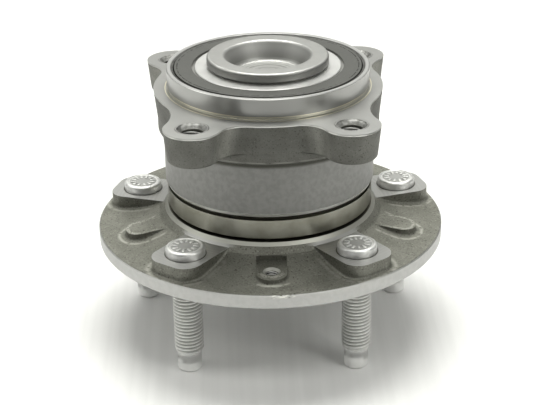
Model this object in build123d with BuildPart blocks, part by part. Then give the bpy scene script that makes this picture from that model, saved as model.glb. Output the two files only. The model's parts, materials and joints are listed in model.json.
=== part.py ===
# Wheel hub bearing for a non-driven wheel: flanged hub on studs, two rows of balls, four-eared outer ring.
# Sizes in millimetres. z = 0 is the face the wheel sits on, +Z points inboard to the knuckle.
import os
from math import cos, hypot, radians, sin, sqrt, tan

from build123d import *

os.makedirs("parts", exist_ok=True)

# Wheel studs
stud_count = 5
stud_circle_d = 115.0
stud_thread_d = 12.0
stud_spline_d = 12.9
stud_head_d = 15.8
stud_head_h = 3.4
stud_head_round = 0.8
stud_spline_end = 0.0
stud_thread_l = 29.9
stud_taper_l = 2.3
stud_nose_d = 9.7
stud_nose_l = 7.8
stud_tip_chamfer = 0.9
hub_turn = -1.23

# Wheel flange of the hub
flange_margin = 14.7
flange_rim_t = 6.0
flange_edge = 0.5
flange_land_w = 6.0
flange_root_rise = 4.6
shoulder_step = 0.9
shoulder_z = 14.2
shoulder_bevel_w = 1.2
shoulder_bevel_h = 1.45
root_run = 2.4
face_relief = 0.8
face_relief_w = 5.0

# Stud pads, ribs and the rotor-screw boss on the back of the flange
pad_z = 11.8
pad_w = 22.0
pad_inset = 2.5
pad_corner_r = 7.0
forge_r = 1.5
foot_r = 1.0
end_flat = 1.0
level_tol = 0.01
stud_hole_chamfer = 0.6
rib_w = 12.0
rib_inset = 9.7
rib_rise = 3.0
rib_tilt = 5.0
boss_w = 12.0
boss_inset = 8.2
boss_rise = 2.3
boss_back_gap = 2.8
rotor_screw_inset = 7.4
rotor_screw_drill_d = 5.0
rotor_screw_chamfer_d = 6.8

# Wheel pilot and the forging pocket behind it
wheel_pilot_d = 70.2
wheel_pilot_l = 10.0
wheel_pilot_chamfer = 1.5
pilot_undercut = 0.8
pocket_mouth_d = 54.0
pocket_top_d = 26.0
pocket_depth = 28.0
pocket_round = 4.0

# Ball rows
ball_count = 13
ball_d = 12.7
inner_race_d = 49.9
contact_angle = 38.0
groove_ratio = 0.525
race_gap = 0.06
race_lip = 0.35
row_out_room = 11.85
row_land = 14.5

# Inner ring, its seat and the formed lip
seat_wall = 4.95
inner_land_drop = 1.5
inner_ring_land = 2.25
inner_ring_sink = 0.25
ring_chamfer = 0.7
ring_edge = 0.3
bore_chamfer = 1.4
lip_hook = 4.8
lip_h = 4.45
lip_undercut = 1.2
lip_round = 1.0
lip_wall = 2.4
dish_slope = 3.4
dish_depth = 7.9
dish_round = 1.5

# Outer ring
body_wall = 5.65
body_edge_w = 1.2
body_edge_h = 2.4
nose_gap = 0.7
outer_land_rise = 1.7
seal_wall_out = 4.4
seal_wall_in = 4.0
collar_proud = 3.4
collar_rise = 16.3
collar_inset = 0.05
collar_step = 1.2
outer_edge = 0.3
ear_rise = 5.4
ear_t = 13.0
ear_draft = 6.0
ear_lobe_r = 11.3
ear_front_x = 30.35
ear_front_y = 46.75
ear_back_x = 39.3
ear_back_y = 33.8
ear_front_blend = 10.0
ear_side_blend = 24.0
ear_back_blend = 12.0
ear_drill_d = 8.5
ear_chamfer_d = 12.0
knuckle_pilot_step = 2.1
knuckle_pilot_l = 8.7
knuckle_pilot_chamfer = 0.3
knuckle_groove_w = 1.6
knuckle_groove_d = 0.5
knuckle_relief_w = 0.6
knuckle_relief_d = 0.3

# Seals
seal_gap = 1.0
seal_seat_gap = 0.45
seal_edge = 0.5
sleeve_h = 8.1
sleeve_t = 1.0
sleeve_foot = 3.2
sleeve_proud = 0.4
sleeve_round = 0.6
seal_sheet = 0.8
seal_fillet = 5.0
lip_gap = 0.1
encoder_t = 1.0
encoder_gap = 0.5
slinger_end = 0.9
slinger_bend = 0.3
lip_span = 4.6
lip_reach = 1.6
lip_t = 0.6
out_sheet_rise = 4.2

# Cages
cage_gap = 0.15
cage_side_gap = 0.5
cage_t = 4.3
cage_ring_t = 1.3
cage_horn = 2.6
cage_slot_w = 0.9
cage_slot_depth = 1.6

# Sizes worked out from the ones above
stud_circle_r = stud_circle_d / 2
stud_step = 360 / stud_count
flange_r = stud_circle_r + flange_margin
flange_root_z = flange_rim_t + flange_root_rise
wheel_pilot_r = wheel_pilot_d / 2
ball_r = ball_d / 2
pitch_r = inner_race_d / 2 + ball_r
land_r = pitch_r - inner_land_drop
seat_r = inner_race_d / 2 - seat_wall
lip_r = seat_r + lip_hook
dish_r = seat_r - lip_wall
dish_floor_r = dish_r - dish_slope
body_r = pitch_r + ball_r + body_wall
shoulder_r = body_r + shoulder_step
row_out_z = shoulder_z + row_out_room + ball_r
row_in_z = row_out_z + ball_d + row_land
groove_r = groove_ratio * ball_d
groove_shift_r = (groove_r - ball_r - race_gap) * cos(radians(contact_angle))
groove_shift_z = (groove_r - ball_r - race_gap) * sin(radians(contact_angle))
inner_groove_r = pitch_r + groove_shift_r
outer_groove_r = pitch_r - groove_shift_r
inner_floor_r = inner_groove_r - groove_r
outer_floor_r = outer_groove_r + groove_r
inner_low_r = inner_floor_r + race_lip
outer_low_r = outer_floor_r - race_lip
outer_land_r = pitch_r + outer_land_rise
groove_low_half = sqrt(groove_r**2 - (groove_r - race_lip) ** 2)
inner_high_half = sqrt(groove_r**2 - (inner_groove_r - land_r) ** 2)
outer_high_half = sqrt(groove_r**2 - (outer_land_r - outer_groove_r) ** 2)
ear_face_z = row_in_z + ear_rise
rim_z = ear_face_z + knuckle_pilot_l
ring_face_z = rim_z - inner_ring_sink
ring_back_z = row_in_z - ball_r - inner_ring_land
lip_z = ring_face_z + lip_h
dish_floor_z = lip_z - dish_depth
sleeve_z = shoulder_z + seal_gap
nose_z = sleeve_z + sleeve_t
body_z = sleeve_z + sleeve_h + nose_gap
sleeve_r = body_r - body_edge_w + sleeve_proud
nose_r = sleeve_r - sleeve_t
knuckle_pilot_r = body_r - knuckle_pilot_step
seal_bore_out_r = body_r - seal_wall_out
seal_bore_in_r = body_r - seal_wall_in
collar_r = body_r + collar_proud
cage_mid_r = land_r + cage_side_gap + cage_t / 2
stud_start = 270 + hub_turn + stud_step / 2
boss_start = 270 + hub_turn
stud_tip_z = -stud_thread_l - stud_taper_l - stud_nose_l
pad_end_r = flange_r - pad_inset
pad_l = pad_end_r - shoulder_r
pad_mid_r = (pad_end_r + shoulder_r) / 2
rib_end_r = flange_r - rib_inset
rib_l = rib_end_r - shoulder_r
boss_z = flange_rim_t + boss_rise
boss_end_r = flange_r - boss_inset
boss_back_r = shoulder_r + boss_back_gap
boss_l = boss_end_r - boss_back_r
boss_mid_r = (boss_end_r + boss_back_r) / 2
rotor_screw_r = boss_end_r - rotor_screw_inset
ear_holes = [
    (-ear_front_x, -ear_front_y),
    (ear_front_x, -ear_front_y),
    (-ear_back_x, ear_back_y),
    (ear_back_x, ear_back_y),
]
collar_z = ear_face_z - collar_rise
collar_low_r = collar_r - (ear_t - collar_step) * tan(radians(ear_draft)) - collar_inset
ball_start = 270.0
cage_back = ball_r + cage_gap + cage_ring_t
seal_seat_out_z = row_out_z - cage_back - seal_seat_gap
seal_seat_in_z = row_in_z + cage_back + seal_seat_gap
in_sheet_r = land_r + lip_span
in_sheet_top_z = seal_seat_in_z + seal_sheet
slinger_z = ring_face_z - slinger_end
encoder_r = seal_bore_in_r - seal_sheet - encoder_gap
out_sheet_r = land_r + lip_span
out_sheet_z = sleeve_z + out_sheet_rise

# Hub: the turned spindle, flange, wheel pilot and formed lip
with BuildPart() as hub:
    with BuildSketch(Plane.XZ) as hub_profile:
        with BuildLine():
            Polyline(
                (0, dish_floor_z),
                (0, pocket_depth - wheel_pilot_l),
                (pocket_top_d / 2, pocket_depth - wheel_pilot_l),
                (pocket_mouth_d / 2, -wheel_pilot_l),
                (wheel_pilot_r - wheel_pilot_chamfer, -wheel_pilot_l),
                (wheel_pilot_r, wheel_pilot_chamfer - wheel_pilot_l),
                (wheel_pilot_r, -pilot_undercut),
                (wheel_pilot_r - pilot_undercut, -pilot_undercut),
                (wheel_pilot_r - pilot_undercut, face_relief),
                (wheel_pilot_r + face_relief_w, face_relief),
                (wheel_pilot_r + face_relief_w, 0),
                (flange_r - flange_edge, 0),
                (flange_r, flange_edge),
                (flange_r, flange_rim_t - flange_edge),
                (flange_r - flange_edge, flange_rim_t),
                (flange_r - flange_land_w, flange_rim_t),
            )
            TangentArc(
                (flange_r - flange_land_w, flange_rim_t),
                (shoulder_r + root_run, flange_root_z),
                tangent=(-1, 0),
            )
            Polyline(
                (shoulder_r + root_run, flange_root_z),
                (shoulder_r, shoulder_z - shoulder_bevel_h),
                (shoulder_r - shoulder_bevel_w, shoulder_z),
                (land_r + seal_fillet, shoulder_z),
            )
            RadiusArc(
                (land_r + seal_fillet, shoulder_z),
                (land_r, shoulder_z + seal_fillet),
                seal_fillet,
            )
            Line(
                (land_r, shoulder_z + seal_fillet),
                (land_r, row_out_z + groove_shift_z - inner_high_half),
            )
            ThreePointArc(
                (land_r, row_out_z + groove_shift_z - inner_high_half),
                (inner_floor_r, row_out_z + groove_shift_z),
                (inner_low_r, row_out_z + groove_shift_z + groove_low_half),
            )
            Polyline(
                (inner_low_r, row_out_z + groove_shift_z + groove_low_half),
                (inner_low_r, ring_back_z),
                (seat_r, ring_back_z),
                (seat_r, ring_face_z),
                (lip_r - lip_undercut, ring_face_z),
                (lip_r, ring_face_z + lip_undercut),
                (lip_r, lip_z - lip_round),
            )
            RadiusArc(
                (lip_r, lip_z - lip_round),
                (lip_r - lip_round, lip_z),
                -lip_round,
            )
            Polyline(
                (lip_r - lip_round, lip_z),
                (dish_r, lip_z),
                (dish_floor_r, dish_floor_z),
                (0, dish_floor_z),
            )
        make_face()
        for dish_corner in ((dish_r, lip_z), (dish_floor_r, dish_floor_z)):
            fillet(hub_profile.vertices().sort_by_distance(dish_corner)[0], dish_round)
        pocket_corner = (pocket_top_d / 2, pocket_depth - wheel_pilot_l)
        fillet(hub_profile.vertices().sort_by_distance(pocket_corner)[0], pocket_round)
    revolve(axis=Axis.Z)

    # Forged pads under the stud heads
    with BuildSketch(Plane.XY.offset(pad_z)) as pads:
        with PolarLocations(pad_mid_r, stud_count, start_angle=stud_start):
            Rectangle(pad_l, pad_w)
        fillet([v for v in pads.vertices() if hypot(v.X, v.Y) > stud_circle_r], pad_corner_r)
    extrude(amount=flange_rim_t / 2 - pad_z)
    pad_walls = [f for f in hub.faces(Select.LAST) if abs(f.normal_at().Z) < level_tol]
    pad_rims = [e for f in pad_walls for e in f.edges()]
    pad_feet = [e for e in pad_rims if e.bounding_box().max.Z < pad_z - foot_r / 2]
    fillet([e for e in pad_feet if hypot(e.center().X, e.center().Y) > shoulder_r + root_run], foot_r)

    # Radial ribs between the pads, rising with the flange; one gap holds the rotor-screw boss instead
    for gap in range(1, stud_count):
        rib_turn = Location((0, 0, flange_rim_t + rib_rise), (0, 0, boss_start + gap * stud_step))
        rib_top = rib_turn * Location((rib_end_r, 0, 0), (0, rib_tilt, 0))
        with BuildSketch(Plane(rib_top)) as rib:
            Rectangle(rib_l, rib_w, align=(Align.MAX, Align.CENTER))
            fillet(rib.vertices().sort_by(Axis.X)[-2:], (rib_w - end_flat) / 2)
        extrude(amount=rib_rise + flange_rim_t / 2, dir=(0, 0, -1))
        rib_walls = [f for f in hub.faces(Select.LAST) if abs(f.normal_at().Z) < level_tol]
        rib_rims = [e for f in rib_walls for e in f.edges()]
        fillet([e for e in rib_rims if e.bounding_box().max.Z < flange_rim_t + foot_r], foot_r)

    # Rotor-screw boss: raised at its round end, sunk into the flange at its inner end
    with BuildSketch(Plane.XY.offset(boss_z)) as boss:
        with PolarLocations(boss_mid_r, 1, start_angle=boss_start):
            Rectangle(boss_l, boss_w)
        fillet([v for v in boss.vertices() if hypot(v.X, v.Y) > stud_circle_r], (boss_w - end_flat) / 2)
    extrude(amount=flange_rim_t / 2 - boss_z)
    boss_walls = [f for f in hub.faces(Select.LAST) if abs(f.normal_at().Z) < level_tol]
    boss_rims = [e for f in boss_walls for e in f.edges()]
    fillet([e for e in boss_rims if e.bounding_box().max.Z < flange_rim_t + foot_r], foot_r)
    extrude(boss.sketch, amount=shoulder_z - boss_z, mode=Mode.SUBTRACT)
    with PolarLocations(rotor_screw_r, 1, start_angle=boss_start):
        with Locations((0, 0, boss_z)):
            CounterSinkHole(rotor_screw_drill_d / 2, rotor_screw_chamfer_d / 2)

    # Stud holes
    with Locations((0, 0, pad_z)):
        with PolarLocations(stud_circle_r, stud_count, start_angle=stud_start):
            Hole(stud_spline_d / 2, depth=2 * pad_z)
    stud_hole_rims = [
        e for e in hub.edges().filter_by(GeomType.CIRCLE) if abs(e.radius - stud_spline_d / 2) < level_tol
    ]
    chamfer([e for e in stud_hole_rims if e.center().Z < flange_rim_t / 2], stud_hole_chamfer)

hub.part.label = "hub"
export_step(hub.part, "parts/hub.step")

# Wheel studs, pressed into the pads from the back
for index in range(stud_count):
    stud_angle = radians(stud_start + index * stud_step)
    stud_x = stud_circle_r * cos(stud_angle)
    stud_y = stud_circle_r * sin(stud_angle)
    with BuildPart() as stud:
        with BuildSketch(Plane((stud_x, stud_y, 0), x_dir=(1, 0, 0), z_dir=(0, -1, 0))):
            with BuildLine():
                Polyline(
                    (0, pad_z + stud_head_h),
                    (0, stud_tip_z),
                    (stud_nose_d / 2 - stud_tip_chamfer, stud_tip_z),
                    (stud_nose_d / 2, stud_tip_z + stud_tip_chamfer),
                    (stud_nose_d / 2, stud_tip_z + stud_nose_l),
                    (stud_thread_d / 2, -stud_thread_l),
                    (stud_thread_d / 2, stud_spline_end),
                    (stud_spline_d / 2, stud_spline_end),
                    (stud_spline_d / 2, pad_z),
                    (stud_head_d / 2, pad_z),
                    (stud_head_d / 2, pad_z + stud_head_h - stud_head_round),
                )
                RadiusArc(
                    (stud_head_d / 2, pad_z + stud_head_h - stud_head_round),
                    (stud_head_d / 2 - stud_head_round, pad_z + stud_head_h),
                    -stud_head_round,
                )
                Line(
                    (stud_head_d / 2 - stud_head_round, pad_z + stud_head_h),
                    (0, pad_z + stud_head_h),
                )
            make_face()
        revolve(axis=Axis((stud_x, stud_y, 0), (0, 0, 1)))
    stud.part.label = f"wheel_stud_{index + 1}"
    export_step(stud.part, f"parts/wheel_stud_{index + 1}.step")

# Inner ring: carries the inboard row, held on its seat by the formed lip
with BuildPart() as inner_ring:
    with BuildSketch(Plane.XZ):
        with BuildLine():
            Polyline(
                (inner_low_r, row_in_z - groove_shift_z - groove_low_half),
                (inner_low_r, ring_back_z + ring_chamfer),
                (inner_low_r - ring_chamfer, ring_back_z),
                (seat_r + ring_chamfer, ring_back_z),
                (seat_r, ring_back_z + ring_chamfer),
                (seat_r, ring_face_z - bore_chamfer),
                (seat_r + bore_chamfer, ring_face_z),
                (land_r - ring_edge, ring_face_z),
                (land_r, ring_face_z - ring_edge),
                (land_r, row_in_z - groove_shift_z + inner_high_half),
            )
            ThreePointArc(
                (land_r, row_in_z - groove_shift_z + inner_high_half),
                (inner_floor_r, row_in_z - groove_shift_z),
                (inner_low_r, row_in_z - groove_shift_z - groove_low_half),
            )
        make_face()
    revolve(axis=Axis.Z)

inner_ring.part.label = "inner_ring"
export_step(inner_ring.part, "parts/inner_ring.step")

# Outer ring: four drafted ears on a collar, then the turned body with both raceways
with BuildPart() as outer_ring:
    # Ears: four lobes blended into the collar (back, front and side necks), drafted towards the body
    with BuildSketch(Plane.XY.offset(ear_face_z)) as ears:
        Circle(collar_r)
        with Locations(*ear_holes):
            Circle(ear_lobe_r)
        fillet(ears.vertices().sort_by(Axis.Y)[-4:], ear_back_blend)
        fillet(ears.vertices().sort_by(Axis.Y)[:2], ear_front_blend)
        fillet(ears.vertices().sort_by(Axis.Y)[4:6], ear_side_blend)
    extrude(amount=-ear_t)
    draft(outer_ring.faces().filter_by(GeomType.CYLINDER), Plane.XY.offset(ear_face_z), -ear_draft)
    fillet(outer_ring.edges().group_by(Axis.Z)[0], forge_r)
    Cylinder(body_r - body_edge_w, 3 * ear_face_z, mode=Mode.SUBTRACT)

    # Turned body
    with BuildSketch(Plane.XZ):
        with BuildLine():
            Polyline(
                (outer_low_r, row_out_z - groove_shift_z - groove_low_half),
                (outer_low_r, seal_seat_out_z),
                (seal_bore_out_r, seal_seat_out_z),
                (seal_bore_out_r, nose_z),
                (nose_r, nose_z),
                (nose_r, body_z),
                (body_r - body_edge_w, body_z),
                (body_r, body_z + body_edge_h),
                (body_r, collar_z - collar_step),
                (collar_low_r, collar_z),
                (collar_low_r, ear_face_z - ear_t + collar_step),
                (body_r, ear_face_z - ear_t + collar_step),
                (body_r, ear_face_z),
                (knuckle_pilot_r + knuckle_relief_w, ear_face_z),
                (knuckle_pilot_r + knuckle_relief_w, ear_face_z - knuckle_relief_d),
                (knuckle_pilot_r - knuckle_groove_d, ear_face_z - knuckle_relief_d),
                (knuckle_pilot_r - knuckle_groove_d, ear_face_z + knuckle_groove_w),
                (knuckle_pilot_r, ear_face_z + knuckle_groove_w),
                (knuckle_pilot_r, rim_z - knuckle_pilot_chamfer),
                (knuckle_pilot_r - knuckle_pilot_chamfer, rim_z),
                (seal_bore_in_r + outer_edge, rim_z),
                (seal_bore_in_r, rim_z - outer_edge),
                (seal_bore_in_r, seal_seat_in_z),
                (outer_low_r, seal_seat_in_z),
                (outer_low_r, row_in_z + groove_shift_z + groove_low_half),
            )
            ThreePointArc(
                (outer_low_r, row_in_z + groove_shift_z + groove_low_half),
                (outer_floor_r, row_in_z + groove_shift_z),
                (outer_land_r, row_in_z + groove_shift_z - outer_high_half),
            )
            Line(
                (outer_land_r, row_in_z + groove_shift_z - outer_high_half),
                (outer_land_r, row_out_z - groove_shift_z + outer_high_half),
            )
            ThreePointArc(
                (outer_land_r, row_out_z - groove_shift_z + outer_high_half),
                (outer_floor_r, row_out_z - groove_shift_z),
                (outer_low_r, row_out_z - groove_shift_z - groove_low_half),
            )
        make_face()
    revolve(axis=Axis.Z)

    # Tapped holes for the knuckle bolts
    with Locations(Plane.XY.offset(ear_face_z)):
        with Locations(*ear_holes):
            CounterSinkHole(ear_drill_d / 2, ear_chamfer_d / 2, depth=2 * ear_t)

outer_ring.part.label = "outer_ring"
export_step(outer_ring.part, "parts/outer_ring.step")

# Balls, one row after the other
for row_name, row_z in (("outboard", row_out_z), ("inboard", row_in_z)):
    for index in range(ball_count):
        ball_angle = radians(ball_start + index * 360 / ball_count)
        with BuildPart() as ball:
            with Locations((pitch_r * cos(ball_angle), pitch_r * sin(ball_angle), row_z)):
                Sphere(ball_r)
        ball.part.label = f"ball_{row_name}_{index + 1:02d}"
        export_step(ball.part, f"parts/ball_{row_name}_{index + 1:02d}.step")

# Snap cages: a ring on the seal side of each row, with split horns that reach round the balls
for row_name, row_z, seal_side in (("outboard", row_out_z, -1), ("inboard", row_in_z, 1)):
    with BuildPart() as cage:
        with BuildSketch(Plane.XZ):
            with Locations((cage_mid_r, row_z + seal_side * (cage_back - cage_horn) / 2)):
                Rectangle(cage_t, cage_back + cage_horn)
        revolve(axis=Axis.Z)
        with Locations((0, 0, row_z)):
            with PolarLocations(pitch_r, ball_count, start_angle=ball_start):
                Sphere(ball_r + cage_gap, mode=Mode.SUBTRACT)
        with Locations((0, 0, row_z - seal_side * (cage_horn - cage_slot_depth / 2))):
            with PolarLocations(cage_mid_r, ball_count, start_angle=ball_start + 180 / ball_count):
                Box(2 * cage_t, cage_slot_w, cage_slot_depth, mode=Mode.SUBTRACT)
    cage.part.label = f"cage_{row_name}"
    export_step(cage.part, f"parts/cage_{row_name}.step")

# Inboard cassette seal: case in the outer ring, slinger and encoder on the inner ring
with BuildPart() as inboard_seal_case:
    with BuildSketch(Plane.XZ):
        with BuildLine():
            Polyline(
                (seal_bore_in_r, seal_seat_in_z),
                (seal_bore_in_r, rim_z - seal_edge),
                (seal_bore_in_r - seal_sheet, rim_z - seal_edge),
                (seal_bore_in_r - seal_sheet, seal_seat_in_z + seal_sheet),
                (in_sheet_r, seal_seat_in_z + seal_sheet),
                (in_sheet_r, seal_seat_in_z),
                close=True,
            )
        make_face()
    revolve(axis=Axis.Z)

inboard_seal_case.part.label = "inboard_seal_case"
export_step(inboard_seal_case.part, "parts/inboard_seal_case.step")

with BuildPart() as inboard_slinger:
    with BuildSketch(Plane.XZ):
        with BuildLine():
            Polyline(
                (land_r, slinger_z),
                (land_r, in_sheet_top_z + lip_reach / 2),
                (land_r + seal_sheet, in_sheet_top_z + lip_reach / 2),
                (land_r + seal_sheet, slinger_z - seal_sheet),
                (encoder_r, slinger_z - seal_sheet),
                (encoder_r, slinger_z),
                close=True,
            )
        make_face()
    revolve(axis=Axis.Z)

inboard_slinger.part.label = "inboard_slinger"
export_step(inboard_slinger.part, "parts/inboard_slinger.step")

with BuildPart() as encoder_ring:
    with BuildSketch(Plane.XZ):
        with Locations(((land_r + seal_sheet + slinger_bend + encoder_r) / 2, slinger_z + encoder_t / 2)):
            Rectangle(encoder_r - land_r - seal_sheet - slinger_bend, encoder_t)
    revolve(axis=Axis.Z)

encoder_ring.part.label = "encoder_ring"
export_step(encoder_ring.part, "parts/encoder_ring.step")

with BuildPart() as inboard_seal_lip:
    with BuildSketch(Plane.XZ):
        with BuildLine():
            Polyline(
                (in_sheet_r, seal_seat_in_z),
                (in_sheet_r, in_sheet_top_z),
                (in_sheet_r + lip_reach, in_sheet_top_z),
                (in_sheet_r + lip_reach, in_sheet_top_z + lip_t),
                (in_sheet_r + lip_reach + lip_t, slinger_z - seal_sheet - lip_gap),
                (in_sheet_r + lip_reach, slinger_z - seal_sheet - lip_gap),
                (in_sheet_r, in_sheet_top_z + lip_t),
                (land_r + seal_sheet + lip_gap, in_sheet_top_z + lip_reach),
                (land_r + seal_sheet + lip_gap, in_sheet_top_z + lip_reach - lip_t),
                (in_sheet_r - lip_t, seal_seat_in_z + lip_t / 2),
                (in_sheet_r - lip_t, seal_seat_in_z),
                close=True,
            )
        make_face()
    revolve(axis=Axis.Z)

inboard_seal_lip.part.label = "inboard_seal_lip"
export_step(inboard_seal_lip.part, "parts/inboard_seal_lip.step")

# Outboard seal: case and lips in the outer ring, bright sleeve over its nose
with BuildPart() as outboard_seal_case:
    with BuildSketch(Plane.XZ):
        with BuildLine():
            Polyline(
                (seal_bore_out_r, seal_seat_out_z),
                (seal_bore_out_r, out_sheet_z),
                (out_sheet_r, out_sheet_z),
                (out_sheet_r, out_sheet_z + seal_sheet),
                (seal_bore_out_r - seal_sheet, out_sheet_z + seal_sheet),
                (seal_bore_out_r - seal_sheet, seal_seat_out_z),
                close=True,
            )
        make_face()
    revolve(axis=Axis.Z)

outboard_seal_case.part.label = "outboard_seal_case"
export_step(outboard_seal_case.part, "parts/outboard_seal_case.step")

with BuildPart() as outboard_seal_lip:
    with BuildSketch(Plane.XZ):
        with BuildLine():
            Polyline(
                (out_sheet_r, out_sheet_z + seal_sheet),
                (out_sheet_r, out_sheet_z),
                (out_sheet_r + lip_reach, out_sheet_z),
                (out_sheet_r + lip_reach, out_sheet_z - lip_t),
                (out_sheet_r + lip_reach + lip_t, shoulder_z + lip_gap),
                (out_sheet_r + lip_reach, shoulder_z + lip_gap),
                (out_sheet_r, out_sheet_z - 2 * lip_t),
                (out_sheet_r - lip_t, out_sheet_z - lip_t),
                (land_r + lip_gap, out_sheet_z + seal_sheet + lip_t),
                (land_r + lip_gap, out_sheet_z + seal_sheet + 2 * lip_t),
                (out_sheet_r - lip_t, out_sheet_z + seal_sheet),
                close=True,
            )
        make_face()
    revolve(axis=Axis.Z)

outboard_seal_lip.part.label = "outboard_seal_lip"
export_step(outboard_seal_lip.part, "parts/outboard_seal_lip.step")

with BuildPart() as outboard_seal_sleeve:
    with BuildSketch(Plane.XZ):
        with BuildLine():
            Polyline(
                (sleeve_r - sleeve_round, sleeve_z),
                (nose_r - sleeve_foot, sleeve_z),
                (nose_r - sleeve_foot, nose_z),
                (nose_r, nose_z),
                (nose_r, sleeve_z + sleeve_h),
                (sleeve_r, sleeve_z + sleeve_h),
                (sleeve_r, sleeve_z + sleeve_round),
            )
            RadiusArc(
                (sleeve_r, sleeve_z + sleeve_round),
                (sleeve_r - sleeve_round, sleeve_z),
                sleeve_round,
            )
        make_face()
    revolve(axis=Axis.Z)

outboard_seal_sleeve.part.label = "outboard_seal_sleeve"
export_step(outboard_seal_sleeve.part, "parts/outboard_seal_sleeve.step")
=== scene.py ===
# %% [markdown]
# # A wheel hub bearing, dressed for its picture
# The part is a hub unit for a wheel that isn't driven: a forged hub with five pressed studs turns inside a
# four-eared outer ring on two rows of balls. The CAD gives every piece its true shape and place. This
# lesson adds what a drawing leaves out: rolled threads, forged and turned surfaces, seals, light and a
# camera.

# %% Load the frame
import json
from math import cos, pi, radians, sin

import bpy
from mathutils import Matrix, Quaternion, Vector


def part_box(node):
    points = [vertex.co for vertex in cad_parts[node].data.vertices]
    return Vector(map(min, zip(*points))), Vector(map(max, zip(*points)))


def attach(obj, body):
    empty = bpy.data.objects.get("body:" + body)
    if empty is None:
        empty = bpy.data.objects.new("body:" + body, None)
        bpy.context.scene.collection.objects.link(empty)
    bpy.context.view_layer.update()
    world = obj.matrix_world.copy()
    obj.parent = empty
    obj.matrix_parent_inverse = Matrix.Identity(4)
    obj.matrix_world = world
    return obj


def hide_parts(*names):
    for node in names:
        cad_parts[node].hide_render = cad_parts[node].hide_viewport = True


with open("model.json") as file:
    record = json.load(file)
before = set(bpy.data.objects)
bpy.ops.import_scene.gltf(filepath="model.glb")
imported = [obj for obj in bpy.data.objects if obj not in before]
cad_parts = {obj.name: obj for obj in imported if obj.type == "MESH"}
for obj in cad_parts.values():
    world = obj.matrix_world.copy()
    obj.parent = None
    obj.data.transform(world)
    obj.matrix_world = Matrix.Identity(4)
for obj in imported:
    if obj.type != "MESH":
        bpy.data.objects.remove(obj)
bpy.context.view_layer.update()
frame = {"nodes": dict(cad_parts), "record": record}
nodes = frame["nodes"]
MM = 0.001
FULL_TURN = 2 * pi

# %% [markdown]
# ## Sizes that the looks need
# A finish has to change where one face of a forging ends and the next begins, so the script needs the
# places of such edges. They could all be typed in, but typed sizes go stale when the CAD changes. So the
# main ones are measured from the loaded nodes or read from the record's mounts. Lengths are in
# millimetres, apart from the floor's height and the studs' places, which go to Blender in metres.

# %% Measure the nodes
low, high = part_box("hub")
flange_r = (high.y - low.y) / 2 / MM
lip_top_z = high.z / MM
pilot_top_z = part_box("outer_ring")[1].z / MM
encoder_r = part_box("encoder_ring")[1].x / MM
floor_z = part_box("wheel_stud_1")[0].z
tip_z = floor_z / MM
print("flange radius", round(flange_r, 2), "mm, lip's top at", round(lip_top_z, 2), "mm")

# %% Measure the studs
stud_count = 5
stud_spots = []
for number in range(1, stud_count + 1):
    low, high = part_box(f"wheel_stud_{number}")
    stud_spots.append(((low + high) / 2).to_2d())
head_top_z = high.z / MM
head_r = (high.x - low.x) / 2 / MM
stud_circle_r = stud_spots[0].length / MM
stud_turn = stud_spots[0].angle_signed(Vector((1, 0)))
stud_step = FULL_TURN / stud_count
rib_turn = stud_turn + stud_step / 2
print("stud circle's radius", round(stud_circle_r, 2), "mm, first stud at", round(stud_turn, 4), "radians")

# %% Read the mounts
mounts = {mount["name"]: mount for mount in frame["record"]["mounts"]}
ear_face_z = mounts["knuckle_face"]["pos_m"][2] / MM
pilot_r = mounts["knuckle_pilot"]["dims"]["r_mm"]
ear_bore_r = mounts["knuckle_bolts_front"]["dims"]["hole_r_mm"]
front_ear_x = mounts["knuckle_bolts_front"]["dims"]["spacing_x_mm"] / 2
front_ear_y = mounts["knuckle_bolts_front"]["pos_m"][1] / MM
back_ear_x = mounts["knuckle_bolts_back"]["dims"]["spacing_x_mm"] / 2
back_ear_y = mounts["knuckle_bolts_back"]["pos_m"][1] / MM
print("ear bolts at", (front_ear_x, front_ear_y), "and", (back_ear_x, back_ear_y), "mm")

# %% [markdown]
# ## The camera
# The photograph looks down on the part by about 25 degrees from nearly straight ahead, through a long
# lens, and is tilted by just under one degree. A Track To constraint could aim the camera, but it would
# leave no room for that tilt. So a track quaternion points it, and a small roll about its own axis follows.

# %% Place the camera
view_turn = radians(-1.5)
view_drop = radians(24.659)
view_roll = radians(-0.912)
camera_reach = 0.56927
camera_height = 0.27315
eye = bpy.data.cameras.new("eye")
eye.lens = 98.83
eye.sensor_width = 36
eye.clip_start = 0.01
camera = bpy.data.objects.new("camera", eye)
bpy.context.scene.collection.objects.link(camera)
camera.location = (camera_reach * sin(view_turn), -camera_reach * cos(view_turn), camera_height)
gaze = Vector((-sin(view_turn) * cos(view_drop), cos(view_turn) * cos(view_drop), -sin(view_drop)))
aim = gaze.to_track_quat("-Z", "Y") @ Quaternion((0, 0, 1), view_roll)
camera.rotation_euler = aim.to_euler()
bpy.context.scene.camera = camera
print("camera at", [round(value, 3) for value in camera.location])

# %% [markdown]
# ## Tools for nodes
# Each finish is one Principled shader fed by small nodes. They could be wired one by one, but the same few
# sums come back in every finish, so each sum is a short function. All patterns read Object coordinates,
# turned into millimetres, so a size in the code is a size on the part. Zones of one forging, such as a
# turned rim beside a scaly flank, are told apart by radius and height. Each zone is a mask, a number that
# is 1 inside it and 0 outside.

# %% Tools for numbers
def feed(tree, socket, value):
    """Joins a socket to an input, or sets the input to a plain value."""
    if isinstance(value, bpy.types.NodeSocket):
        tree.links.new(value, socket)
    else:
        socket.default_value = value


def calc(tree, operation, *values):
    """One Math node fed with sockets or numbers."""
    step = tree.nodes.new("ShaderNodeMath")
    step.operation = operation
    for socket, value in zip(step.inputs, values):
        feed(tree, socket, value)
    return step.outputs[0]


def times(tree, first, *others):
    """The product of masks or numbers."""
    for other in others:
        first = calc(tree, "MULTIPLY", first, other)
    return first


def most(tree, first, *others):
    """The largest of some masks."""
    for other in others:
        first = calc(tree, "MAXIMUM", first, other)
    return first


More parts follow.
